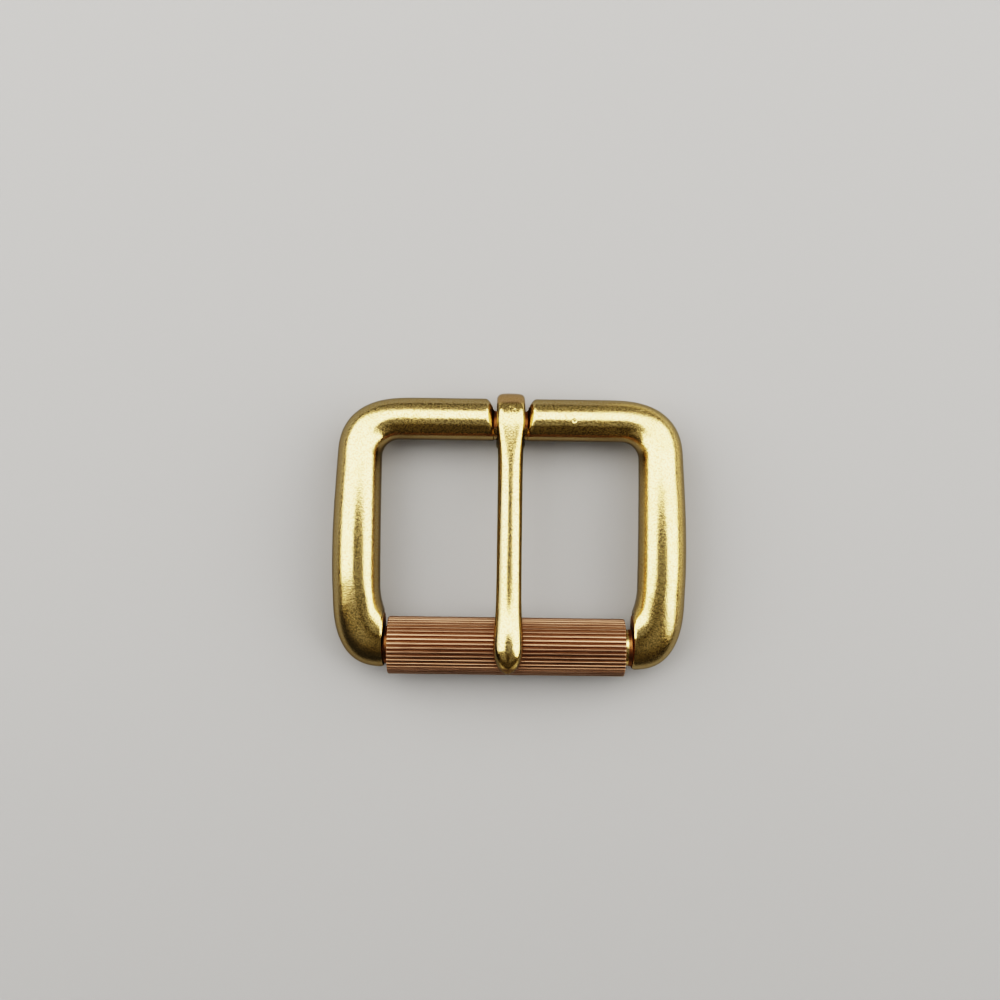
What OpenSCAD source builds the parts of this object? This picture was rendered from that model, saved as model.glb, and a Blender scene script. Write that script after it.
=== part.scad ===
// Roller buckle for a belt: a cast frame, a fluted roller that spins on the frame's roller bar, and a
// prong whose hook swings on a neck in the frame's heel bar. It lies on its back, front side up.
// X runs across the strap, Y from the roller to the heel bar, Z up. Millimetres.

/* [Strap] */
// Width of the strap that passes between the arms
strap_w = 40; // [30:1:50]
// Play of the strap between the arms
strap_play = 0.5; // [0.2:0.1:1.5]

/* [Frame] */
// Distance between the centre lines of the heel bar and the roller bar
reach = 35.9; // [30:0.1:44]
// Width of the heel bar, seen from the front
heel_w = 6.7; // [6.3:0.1:8]
// Width of each arm next to the heel bar, seen from the front
arm_w = 7.05; // [6.25:0.1:8.75]
// How much wider each arm is at the roller's end
arm_spread = 0.45; // [0:0.05:0.8]
// How far the outside of each arm bows out between its corners
arm_bow = 0.25; // [0:0.05:0.8]
// Height of the heel bar's rounded front above its centre plane
heel_crown_h = 3; // [2.7:0.1:3.8]
// Height of the arms' rounded front above their centre plane
crown_h = 3.5; // [3:0.1:4.2]
// How far the crest of each arm stands inward of its middle
arm_lean = 0.25; // [0:0.05:0.6]
// How far the crest of each foot stands inward of its middle
foot_lean = 1.05; // [0:0.05:1.3]
// Depth of the frame's flattened back below its centre plane
back_h = 3; // [2.6:0.1:3.8]
// Rise of the middle of the arms above their ends
arch_h = 1.9; // [0:0.1:2.4]
// Width of the rounding of the outer corners at the heel bar
heel_corner_w = 11.5; // [7:0.1:13]
// Length of the rounding of the outer corners at the heel bar
heel_corner_l = 9.8; // [6.5:0.1:12]
// Width of the rounding of the outer corners at the roller
foot_corner_w = 7.9; // [5:0.1:8]
// Length of the rounding of the outer corners at the roller
foot_corner_l = 11.8; // [6.5:0.1:13]
// Radius of the two inner corners at the heel bar
corner_in_r = 2.6; // [1.2:0.1:4.5]
// How far each foot turns inward from the inside of its arm
foot_in = 0.7; // [0.3:0.05:1.5]
// Distance from the roller bar's centre line to the end of the frame
foot_out = 3.5; // [3.2:0.1:4.2]
// Distance from the roller bar's centre line to the inner edge of each foot
foot_up = 5.4; // [4.6:0.1:6.5]

/* [Roller] */
// Diameter of the roller over its ridges
roller_d = 9.1; // [8.8:0.1:10.4]
// Diameter of the frame's bar inside the roller
roller_bar_d = 5.8; // [4.4:0.1:6]
// Clearance all round between the roller and its bar
roller_clearance = 0.1; // [0.05:0.05:0.25]
// Gap between the roller and the left foot, where the roller lies against it
roller_gap_left = 0.6; // [0.15:0.05:0.8]
// Gap between the roller and the right foot
roller_gap_right = 1.15; // [0.2:0.05:1.5]
// Number of flutes around the roller
flutes = 40; // [24:1:48]
// Depth of each flute
flute_depth = 0.26; // [0.1:0.02:0.4]
// Width of a ridge's flat top as a share of the pitch
ridge_share = 0.42; // [0.2:0.02:0.6]
// Width of a flute's flat floor as a share of the pitch
floor_share = 0.16; // [0.06:0.02:0.3]
// Chamfer on the ends of the roller
roller_chamfer = 0.22; // [0.1:0.02:0.5]

/* [Prong] */
// Diameter of the neck in the heel bar that the hook swings on
neck_d = 4.6; // [4:0.1:5]
// Clearance all round between the hook and the neck
hook_clearance = 0.1; // [0.05:0.05:0.2]
// Width of the hook
hook_w = 4.5; // [3.8:0.1:5.4]
// Gap between the hook and each side of the notch at its floor
notch_play = 0.45; // [0.1:0.05:0.6]
// How much wider the rounding makes the notch at each side of its mouth
notch_flare = 0.85; // [0.4:0.05:1]
// How much farther from the prong each side of the notch stands on its outer half
notch_slant = 0.45; // [0:0.05:0.6]
// Thickness of the hook on its outer side
hook_out_t = 2.75; // [2.2:0.05:3]
// Thickness of the hook over the neck
hook_top_t = 2.9; // [2.4:0.05:3.1]
// Thickness of the hook under the neck
hook_back_t = 2.15; // [1.6:0.05:2.4]
// Thickness of the hook's tail
hook_tail_t = 1.3; // [0.9:0.05:1.6]
// Angle that the tail reaches above the level of the pivot, on the inner side
tail_rise = 27; // [0:1:30]
// Width of the shank
shank_w = 3.9; // [3.2:0.1:5]
// Thickness of the shank next to the hook
root_t = 2.9; // [2.4:0.05:3.2]
// Thickness of the shank where it is thinnest
shank_t = 2; // [1.7:0.05:2.4]
// Width of the tip
tip_w = 4.75; // [3.4:0.05:5.4]
// Thickness of the tip where it crowns over the roller
tip_t = 2.65; // [2:0.05:3.4]
// How far the tip reaches past the roller's centre line
tip_past = 3.6; // [2.4:0.1:4.2]
// Gap between the tip and the roller
rest_gap = 0.1; // [0.05:0.05:0.3]

/* [Hidden] */

// Points around each section of the frame and of the prong
FRAME_SIDES = 24;
PRONG_SIDES = 20;
// Steps of each stretch of the frame: notch side, heel bar, corner, arm and foot
FLARE_STEPS = 5;
HEEL_STEPS = 3;
CORNER_STEPS = 9;
ARM_STEPS = 8;
FOOT_STEPS = 9;
// Steps around the prong's hook
HOOK_STEPS = 26;
// Fineness of the true cylinders
$fn = 96;

// Exponents of the rounded sections: 2 is an ellipse, more is squarer and less is more pointed. Each
// front has one for its outer and one for its inner side.
HEEL_ROUND = [1.95, 1.95];
ARM_ROUND = [1.8, 1.9];
FOOT_ROUND = [1.5, 2.1];
BACK_ROUND = 3;
HOOK_ROUND = 4.2;
TIP_ROUND = 1.75;
// Exponent of the outer corners' outline
CORNER_ROUND = 2.5;
// Where the heel bar's front has turned into the arm's, in millimetres from the heel bar's centre
// line, and how long that change is
ARM_FORM_AT = 6;
ARM_FORM_OVER = 7;
// Where the arm's front starts to turn into the foot's and how long that takes, as shares of reach
FOOT_FORM_FROM = 0.68;
FOOT_FORM_OVER = 0.22;
// How sharply the arch of the arms rises at its two ends
ARCH_ROUND = 2;
// Angle into the notch's rounded side at which the lofted frame ends and the neck goes on
FLARE_START = 8;
// How far the neck stays inside the heel bar's inner edge
NECK_INSET = 0.1;
// How far a bar runs on inside the metal that holds it
BAR_ROOT = 1.2;
// How deep the hook is lofted into its bore before the bore is cut
BORE_OVERLAP = 0.2;
// Length of the curve that turns each arm's inner edge into its foot, as a share of the foot
FOOT_CURVE = 0.45;
// Angle round the foot's corner by which its rounding is done
FOOT_TURN = 96;
// Height of the prong's widest line as a share of its thickness
PRONG_EQUATOR = 0.4;
// Angle around the pivot, from the outward direction, of the pivot's own level on the inner side
TAIL_LEVEL = -180;
// The tip's rounded end: its steps, where it starts as a share of the run, the angle at which it
// ends, and its thickness there as a share of the tip's
TIP_STEPS = 8;
TIP_FROM = 0.98;
TIP_BLUNT = 86;
TIP_END_SHARE = 0.32;

// The middle of the strap's way is X 0
inner_x = (strap_w + strap_play) / 2;
outer_x = inner_x + arm_w;
foot_x = inner_x - foot_in;
end_y = -reach - foot_out;
foot_y = -reach + foot_up;

neck_r = neck_d / 2;
bore_r = neck_r + hook_clearance;
notch_floor_x = hook_w / 2 + notch_play;
notch_mouth_x = notch_floor_x + notch_flare + notch_slant;
pivot_y = -(heel_w / 2 - neck_r - NECK_INSET);

roller_r = roller_d / 2;
roller_bore_r = roller_bar_d / 2 + roller_clearance;
roller_x0 = -foot_x + roller_gap_left;
roller_x1 = foot_x - roller_gap_right;

// The bars' centre plane stands as high as the roller or the hook needs, whichever is more
level_z = max(roller_r, bore_r + hook_back_t);
// The middle of the whole buckle along Y, measured from the heel bar's centre line
top_y = max(heel_w / 2, pivot_y + bore_r + hook_out_t);
bottom_y = min(end_y, -reach - roller_r);
middle_y = (top_y + bottom_y) / 2;

// Distance from the prong's pivot to the roller's centre line, and the radius that the tip sits on
run = reach + pivot_y;
seat_r = roller_r + rest_gap;
// Angle of the shank's underside, which leaves the bore level and lies as a tangent on the seat
under_angle = asin((seat_r - bore_r) / run);
seat_start = run - seat_r * sin(under_angle);

function lerp(a, b, t) = a + (b - a) * t;
function smooth(t) = let (u = min(1, max(0, t))) u * u * (3 - 2 * u);
function flat(p) = [p[0], p[1], 0];

// Value at x from rows of [x, value], smoothly between the rows
function keyed(rows, x, i = 0) =
    x <= rows[0][0] ? rows[0][1] :
    i >= len(rows) - 1 ? rows[len(rows) - 1][1] :
    x <= rows[i + 1][0]
        ? lerp(rows[i][1], rows[i + 1][1], smooth((x - rows[i][0]) / (rows[i + 1][0] - rows[i][0])))
        : keyed(rows, x, i + 1);

// One coordinate of a rounded section: c is a cosine or a sine, and n the exponent
function rounded(c, n) = sign(c) * pow(abs(c), 2 / n);

// A ring of points around mid: side and up are unit vectors. The front is [height, exponent on the
// side that side points to, exponent on the other one, lean of the crest], and the back has its own
// height and exponent.
function ring(mid, side, up, half_w, front, back, n_back, sides) =
    [for (k = [0 : sides - 1])
        let (
            c = cos(360 * k / sides),
            s = sin(360 * k / sides),
            n = s < 0 ? n_back : c >= 0 ? front[1] : front[2],
            h = s < 0 ? back : front[0],
            lean = front[3] * pow(max(0, s), 2)
        )
        mid + side * (half_w * rounded(c, n) + lean) + up * h * rounded(s, n)];

// A closed solid through rings of equal length
module loft(rings) {
    sides = len(rings[0]);
    last = (len(rings) - 1) * sides;
    polyhedron(
        points = [for (r = rings) each r],
        faces = concat(
            [[for (k = [0 : sides - 1]) k]],
            [[for (k = [sides - 1 : -1 : 0]) last + k]],
            [for (i = [0 : len(rings) - 2], k = [0 : sides - 1])
                let (a = i * sides + k, b = i * sides + (k + 1) % sides)
                each [[a, a + sides, b], [b, a + sides, b + sides]]]
        )
    );
}

// Height of the arms' centre plane above the bars' at y
function arch(y) =
    let (t = min(1, max(0, -y / reach)))
    arch_h * (1 - pow(abs(2 * t - 1), ARCH_ROUND));

// The form of the frame's front at y: the heel bar's, the arm's or the foot's, or between two of them
heel_front = concat(heel_crown_h, HEEL_ROUND, -0.4 * arm_lean);
arm_front = concat(crown_h, ARM_ROUND, -arm_lean);
foot_front = concat(crown_h, FOOT_ROUND, -foot_lean);
function front_at(y) =
    lerp(lerp(heel_front, arm_front, smooth(1 - (y + ARM_FORM_AT) / ARM_FORM_OVER)), foot_front,
        smooth((-y / reach - FOOT_FORM_FROM) / FOOT_FORM_OVER));

// The frame's section between a point of its outer edge and a point of its inner edge
function frame_ring(outer, inner) =
    let (mid = (outer + inner) / 2, across = outer - inner, w = norm(across))
    ring(flat(mid) + [0, 0, arch(mid[1])], flat(across) / w, [0, 0, 1], w / 2, front_at(mid[1]),
        back_h, BACK_ROUND, FRAME_SIDES);

// How far the notch's side is moved from the prong at y, from none on the inner side to the full slant
function slant_at(y) = notch_slant * smooth(1 + 4 * y / heel_w);

// The notch's side: the heel bar's section swells from nearly the neck's round to its own full form
function flare_rings() =
    [for (i = [0 : FLARE_STEPS])
        let (
            a = lerp(FLARE_START, 90, i / FLARE_STEPS),
            t = sin(a),
            part = (t - sin(FLARE_START)) / (1 - sin(FLARE_START)),
            x = notch_floor_x + notch_flare * (1 - cos(a)),
            outer = lerp(pivot_y + neck_r, heel_w / 2, t),
            inner = lerp(pivot_y - neck_r, -heel_w / 2, smooth(3 * t))
        )
        [for (p = ring([x, (outer + inner) / 2, 0], [0, 1, 0], [0, 0, 1], (outer - inner) / 2,
                lerp([neck_r, 2, 2, 0], heel_front, t), lerp(neck_r, back_h, t),
                lerp(2, BACK_ROUND, t), FRAME_SIDES))
            p + [part * slant_at(p[1]), 0, 0]]];

function heel_rings() =
    let (end = inner_x - corner_in_r)
    [for (i = [1 : HEEL_STEPS])
        let (x = lerp(notch_mouth_x, end, i / (HEEL_STEPS + 1)))
        frame_ring([x, heel_w / 2], [x, -heel_w / 2])];

// A point of a corner's outer edge: w and l are the corner's width and length, a the angle
function corner_point(centre, w, l, a) =
    centre + [w * rounded(cos(a), CORNER_ROUND), l * rounded(sin(a), CORNER_ROUND)];

function corner_rings() =
    let (
        out_c = [outer_x - heel_corner_w, heel_w / 2 - heel_corner_l],
        in_c = [inner_x - corner_in_r, -heel_w / 2 - corner_in_r]
    )
    [for (i = [0 : CORNER_STEPS])
        let (a = 90 - 90 * i / CORNER_STEPS)
        frame_ring(corner_point(out_c, heel_corner_w, heel_corner_l, a),
            in_c + corner_in_r * [cos(a), sin(a)])];

// Where the straight inner edge of the arm ends and its turn into the foot starts
turn_y = foot_y + FOOT_CURVE * (foot_up + foot_out);

function arm_rings() =
    let (
        out_0 = heel_w / 2 - heel_corner_l,
        out_1 = end_y + foot_corner_l,
        in_0 = -heel_w / 2 - corner_in_r
    )
    [for (i = [1 : ARM_STEPS - 1])
        let (t = i / ARM_STEPS, bulge = arm_spread * smooth(t) + arm_bow * 4 * t * (1 - t))
        frame_ring([outer_x + bulge, lerp(out_0, out_1, t)], [inner_x, lerp(in_0, turn_y, t)])];

// The lower corner: the outer edge turns on its arc to the foot's flat face, the inner one hardly
function foot_rings() =
    let (out_c = [outer_x + arm_spread - foot_corner_w, end_y + foot_corner_l])
    [for (i = [0 : FOOT_STEPS])
        let (
            t = i / FOOT_STEPS,
            outer = i == FOOT_STEPS
                ? [foot_x, end_y]
                : corner_point(out_c, foot_corner_w, foot_corner_l, -FOOT_TURN * t),
            inner = [inner_x - foot_in * t * t, lerp(turn_y, foot_y, t)]
        )
        frame_ring(outer, inner)];

module half_frame() {
    loft(concat(flare_rings(), heel_rings(), corner_rings(), arm_rings(), foot_rings()));
}

// A true cylinder along X from x0 to x1
module x_cylinder(x0, x1, r) {
    translate([x0, 0, 0]) rotate([0, 90, 0]) cylinder(h = x1 - x0, r = r);
}

// Moves its children from the heel bar's centre line to their place in the buckle
module in_place() {
    translate([0, -middle_y, level_z]) children();
}

module frame() {
    neck_end = notch_floor_x + BAR_ROOT;
    color("goldenrod") in_place() {
        half_frame();
        mirror([1, 0, 0]) half_frame();
        translate([0, pivot_y, 0]) x_cylinder(-neck_end, neck_end, neck_r);
        translate([0, -reach, 0]) x_cylinder(-foot_x - BAR_ROOT, foot_x + BAR_ROOT, roller_bar_d / 2);
    }
}

// Outline of the fluted roller: per pitch a ridge's flat top and a flute's flat floor
function roller_outline() =
    let (pitch = 360 / flutes, ridge = ridge_share / 2, floor_half = floor_share / 2)
    [for (i = [0 : flutes - 1])
        each [for (corner = [
                [-ridge, roller_r],
                [ridge, roller_r],
                [0.5 - floor_half, roller_r - flute_depth],
                [0.5 + floor_half, roller_r - flute_depth]
            ])
            let (a = (i + corner[0]) * pitch)
            corner[1] * [cos(a), sin(a)]]];

module roller() {
    length = roller_x1 - roller_x0;
    cone_h = roller_r;
    color("peru") in_place() translate([roller_x0, -reach, 0]) rotate([0, 90, 0]) difference() {
        intersection() {
            linear_extrude(length) polygon(roller_outline());
            rotate_extrude() polygon([
                [0, 0],
                [roller_r - roller_chamfer, 0],
                [roller_r + BORE_OVERLAP, roller_chamfer + BORE_OVERLAP],
                [roller_r + BORE_OVERLAP, length - roller_chamfer - BORE_OVERLAP],
                [roller_r - roller_chamfer, length],
                [0, length]
            ]);
        }
        translate([0, 0, -cone_h]) cylinder(h = length + 2 * cone_h, r = roller_bore_r);
    }
}

// Outside radius of the hook at an angle from the outward direction, up being 90 degrees
function hook_r(a) = bore_r + keyed([
    [TAIL_LEVEL - tail_rise, hook_tail_t],
    [-90, hook_back_t],
    [0, hook_out_t],
    [90, hook_top_t]
], a);

// A ring of the prong between a point of its underside and one of its front, both in the YZ plane
function prong_ring(under, front, w, n) =
    let (
        t = norm(front - under),
        up = (front - under) / t,
        mid = under + up * t * PRONG_EQUATOR
    )
    ring([0, mid[0], mid[1]], [1, 0, 0], [0, up[0], up[1]], w / 2,
        [t * (1 - PRONG_EQUATOR), n, n, 0], t * PRONG_EQUATOR, HOOK_ROUND, PRONG_SIDES);

function hook_rings() =
    let (a_0 = TAIL_LEVEL - tail_rise)
    [for (i = [0 : HOOK_STEPS - 1])
        let (
            a = lerp(a_0, 90, i / HOOK_STEPS),
            d = [cos(a), sin(a)],
            blunt = i == 0 ? 0.7 : i == 1 ? 0.93 : 1
        )
        prong_ring(d * (bore_r - BORE_OVERLAP), d * (bore_r + (hook_r(a) - bore_r) * blunt),
            hook_w * blunt, HOOK_ROUND)];

// Underside of the shank and tip at a distance y inward from the pivot
function under_z(y) =
    y < seat_start
        ? bore_r / cos(under_angle) + y * tan(under_angle)
        : sqrt(max(0, seat_r * seat_r - (y - run) * (y - run)));

// The shank and tip, by rows of [place, width, thickness, exponent of the front]. Place is a share
// of run. Width and thickness are shares of the size that the row's stretch is named for.
function shank_table() = [
    [0.00, hook_w, hook_top_t, 3.8],
    [0.03, hook_w * 0.97, root_t * 0.99, 3.2],
    [0.09, lerp(shank_w, hook_w, 0.25), root_t * 0.96, 2.4],
    [0.16, shank_w, lerp(shank_t, root_t, 0.74), 1.85],
    [0.26, shank_w, lerp(shank_t, root_t, 0.52), 1.7],
    [0.40, shank_w, lerp(shank_t, root_t, 0.23), 1.65],
    [0.60, shank_w, shank_t * 1.01, 1.65],
    [0.78, shank_w * 1.01, shank_t, 1.65],
    [0.84, lerp(shank_w, tip_w, 0.2), lerp(shank_t, tip_t, 0.26), 1.7],
    [0.90, lerp(shank_w, tip_w, 0.6), lerp(shank_t, tip_t, 0.72), 1.75],
    [0.94, lerp(shank_w, tip_w, 0.85), lerp(shank_t, tip_t, 0.96), 1.75],
    [0.98, tip_w, tip_t, TIP_ROUND]
];

function shank_rings() =
    [for (row = shank_table())
        let (y = row[0] * run, z = under_z(y))
        prong_ring([-y, z - (row[0] == 0 ? BORE_OVERLAP : 0)], [-y, z + row[2]], row[1], row[3])];

// The rounded end of the tip bends down around the roller. Its thickness leans with the seat.
function tip_rings() =
    let (y_0 = TIP_FROM * run, length = run + tip_past - y_0)
    [for (i = [1 : TIP_STEPS])
        let (
            a = TIP_BLUNT * i / TIP_STEPS,
            y = y_0 + length * sin(a),
            z = under_z(y),
            t = tip_t * lerp(TIP_END_SHARE, 1, cos(a)),
            lean = 0.5 * asin(max(0, (y - run) / seat_r))
        )
        prong_ring([-y, z], [-y - t * sin(lean), z + t * cos(lean)], tip_w * cos(a), TIP_ROUND)];

module prong() {
    color("gold") in_place() translate([0, pivot_y, 0]) difference() {
        loft(concat(hook_rings(), shank_rings(), tip_rings()));
        x_cylinder(-hook_w, hook_w, bore_r);
    }
}

frame();
roller();
prong();
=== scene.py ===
"""Roller buckle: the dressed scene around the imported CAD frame.

Sizes are in millimetres from the middle of the heel bar, as in the CAD source. A mesh turns them into
metres in the CAD model's own frame: X across the strap, Y from the roller to the heel bar, Z up.
"""

import logging
import math
from collections.abc import Callable
from dataclasses import dataclass, replace

import bmesh
import bpy
from mathutils import Matrix, Vector


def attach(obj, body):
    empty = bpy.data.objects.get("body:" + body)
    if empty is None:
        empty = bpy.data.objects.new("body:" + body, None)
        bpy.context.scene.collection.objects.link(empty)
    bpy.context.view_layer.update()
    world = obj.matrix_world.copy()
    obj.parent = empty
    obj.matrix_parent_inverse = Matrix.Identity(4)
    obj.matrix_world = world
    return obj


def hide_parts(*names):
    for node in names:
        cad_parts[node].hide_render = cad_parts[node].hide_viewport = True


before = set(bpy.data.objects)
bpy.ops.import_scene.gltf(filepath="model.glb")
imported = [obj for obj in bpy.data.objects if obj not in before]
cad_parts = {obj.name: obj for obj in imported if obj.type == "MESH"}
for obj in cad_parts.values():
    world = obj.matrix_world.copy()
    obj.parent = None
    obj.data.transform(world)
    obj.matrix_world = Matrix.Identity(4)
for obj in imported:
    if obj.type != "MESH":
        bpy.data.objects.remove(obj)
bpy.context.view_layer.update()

Pair = tuple[float, float]
Triple = tuple[float, float, float]
Colour = Triple
Socket = bpy.types.NodeSocket

MM = 0.001
FALLING: Pair = (1.0, 0.0)
log = logging.getLogger("buckle")


def lerp(a: float, b: float, t: float) -> float:
    """Returns the value at share t of the way from a to b."""
    return a + (b - a) * t


def smooth(t: float) -> float:
    """Returns the smooth step of t, held to 0 and 1 outside that range."""
    u = min(1.0, max(0.0, t))
    return u * u * (3.0 - 2.0 * u)


def rounded(c: float, n: float) -> float:
    """Returns one coordinate of a superellipse: c is a cosine or sine, n the exponent."""
    return math.copysign(abs(c) ** (2.0 / n), c)


def in_metres(span: Pair) -> Pair:
    """Returns a span of millimetres in metres."""
    return span[0] * MM, span[1] * MM


def keyed(rows: list[Pair], x: float) -> float:
    """Reads a value between rows, smoothly.

    Args:
        rows: pairs of place and value, in rising order of place.
        x: the place to read at.

    Returns:
        The value there, held at the first and last rows' beyond them.
    """
    if x <= rows[0][0]:
        return rows[0][1]
    for (x_0, v_0), (x_1, v_1) in zip(rows, rows[1:]):
        if x <= x_1:
            return lerp(v_0, v_1, smooth((x - x_0) / (x_1 - x_0)))
    return rows[-1][1]


def new_object(name: str, bm: bmesh.types.BMesh) -> bpy.types.Object:
    """Makes an object at the origin.

    Args:
        name: the object's name.
        bm: its shape, which is freed.

    Returns:
        The new object, in the scene.
    """
    mesh = bpy.data.meshes.new(name)
    bm.to_mesh(mesh)
    bm.free()
    made = bpy.data.objects.new(name, mesh)
    bpy.context.scene.collection.objects.link(made)
    return made


def new_material(name: str) -> tuple[bpy.types.Material, bpy.types.Node]:
    """Makes a material.

    Args:
        name: the material's name.

    Returns:
        The material and its Principled shader.
    """
    made = bpy.data.materials.new(name)
    made.use_nodes = True
    return made, next(n for n in made.node_tree.nodes if n.type == "BSDF_PRINCIPLED")


@dataclass(frozen=True)
class Layout:
    """Sizes that the pieces share, in millimetres from the heel bar's middle.

    Attributes:
        reach: from the heel bar to the roller's centre line.
        level_z: height of the bars' centre plane over the surface that the buckle lies on.
        middle_y: place of the model's origin.
        heel_w: the heel bar's width.
        inner_x: half the opening between the arms.
        foot_in: how far each foot stands in from its arm.
        foot_out: how far the feet go past the roller's centre line.
        foot_up: how far they go back from it, towards the heel bar.
        neck_r: radius of the neck that the hook swings on.
        pivot_y: place of the neck's centre line.
        roller_bar_r: radius of the bar in the roller.
    """

    reach: float = 35.9
    level_z: float = 4.55
    middle_y: float = -18.125
    heel_w: float = 6.7
    inner_x: float = 20.25
    foot_in: float = 0.7
    foot_out: float = 3.5
    foot_up: float = 5.4
    neck_r: float = 2.3
    pivot_y: float = -0.95
    roller_bar_r: float = 2.9

    @property
    def heel_half(self) -> float:
        """Distance of the heel bar's edges from its middle."""
        return self.heel_w / 2

    @property
    def foot_x(self) -> float:
        """Distance of each foot's face from the middle."""
        return self.inner_x - self.foot_in

    @property
    def end_y(self) -> float:
        """Place of the frame's end past the roller bar."""
        return -self.reach - self.foot_out

    def place(self, point: Vector) -> Vector:
        """Returns a point in millimetres as its place in the model, in metres."""
        return Vector((point.x, point.y - self.middle_y, point.z + self.level_z)) * MM


LAYOUT = Layout()


@dataclass(frozen=True)
class Crown:
    """The form of a bar's rounded front: its height, each side's exponent and the crest's lean."""

    height: float
    outer_n: float = 2.0
    inner_n: float = 2.0
    lean: float = 0.0

    def towards(self, other: "Crown", t: float) -> "Crown":
        """Returns the form at share t of the way to another one."""
        return Crown(lerp(self.height, other.height, t), lerp(self.outer_n, other.outer_n, t),
                     lerp(self.inner_n, other.inner_n, t), lerp(self.lean, other.lean, t))


@dataclass(frozen=True)
class Section:
    """A rounded section across a bar, in millimetres, with its own front and back form."""

    mid: Vector
    side: Vector
    up: Vector
    half_w: float
    crown: Crown
    back: float
    back_n: float = 2.0

    def point(self, angle: float) -> Vector:
        """Finds a point of the section.

        Args:
            angle: its direction from the middle, turned from the side towards up.

        Returns:
            The point.
        """
        c, s = math.cos(angle), math.sin(angle)
        n, height = self.back_n, self.back
        if s >= 0:
            n, height = self.crown.outer_n if c >= 0 else self.crown.inner_n, self.crown.height
        across = self.half_w * rounded(c, n) + self.crown.lean * max(0.0, s) ** 2
        return self.mid + self.side * across + self.up * (height * rounded(s, n))

    def shrunk(self, by: float, shift: float = 0.0) -> "Section":
        """Returns a copy that is smaller by that much all round, moved by shift along X."""
        return replace(self, mid=self.mid + Vector((shift, 0, 0)), half_w=self.half_w - by,
                       back=self.back - by, crown=replace(self.crown, height=self.crown.height - by))

    def towards(self, other: "Section", t: float) -> "Section":
        """Blends the section with another one in the same plane.

        Args:
            other: the other section.
            t: the share of the way to it.

        Returns:
            The section there.
        """
        return replace(self, mid=self.mid.lerp(other.mid, t), back=lerp(self.back, other.back, t),
                       half_w=lerp(self.half_w, other.half_w, t),
                       crown=self.crown.towards(other.crown, t),
                       back_n=lerp(self.back_n, other.back_n, t))


class RingMesh:
    """A mesh that is lofted from rings.

    Each point keeps how far up its ring it stands, from -1 at the back to 1 at the crown, in an
    attribute that the finishes read.
    """

    RISE = "rise"

    def __init__(self, sides: int) -> None:
        """Starts an empty mesh.

        Args:
            sides: how many points each ring has.
        """
        self.bm = bmesh.new()
        self.rise = self.bm.verts.layers.float.new(self.RISE)
        self.sides = sides
        self.last: list[bmesh.types.BMEdge] = []

    def ring(self, point: Callable[[float], Vector]) -> list[bmesh.types.BMEdge]:
        """Makes one ring.

        Args:
            point: gives the place in millimetres of the ring's point at an angle.

        Returns:
            The ring's edges.
        """
        made = bmesh.ops.create_circle(self.bm, cap_ends=False, segments=self.sides, radius=1.0)
        for v in made["verts"]:
            v[self.rise] = v.co.y
            v.co = LAYOUT.place(point(math.atan2(v.co.y, v.co.x)))
        return list(dict.fromkeys(e for v in made["verts"] for e in v.link_edges))

    def add(self, point: Callable[[float], Vector]) -> None:
        """Adds a ring and joins it to the ring before it.

        Args:
            point: gives the place in millimetres of the ring's point at an angle.
        """
        edges = self.ring(point)
        if self.last:
            bmesh.ops.bridge_loops(self.bm, edges=self.last + edges)
        self.last = edges

    def cap(self) -> None:
        """Closes the last ring with one face."""
        bmesh.ops.edgeloop_fill(self.bm, edges=self.last)

    def finish(self, name: str, levels: int) -> bpy.types.Object:
        """Turns the mesh into an object.

        Args:
            name: the object's name.
            levels: how many times it is subdivided, or 0.

        Returns:
            The new object, at the origin.
        """
        bmesh.ops.recalc_face_normals(self.bm, faces=self.bm.faces[:])
        made = new_object(name, self.bm)
        made.data.shade_smooth()
        if levels:
            soft = made.modifiers.new("rounding", "SUBSURF")
            soft.levels = soft.render_levels = levels
        return made


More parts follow.
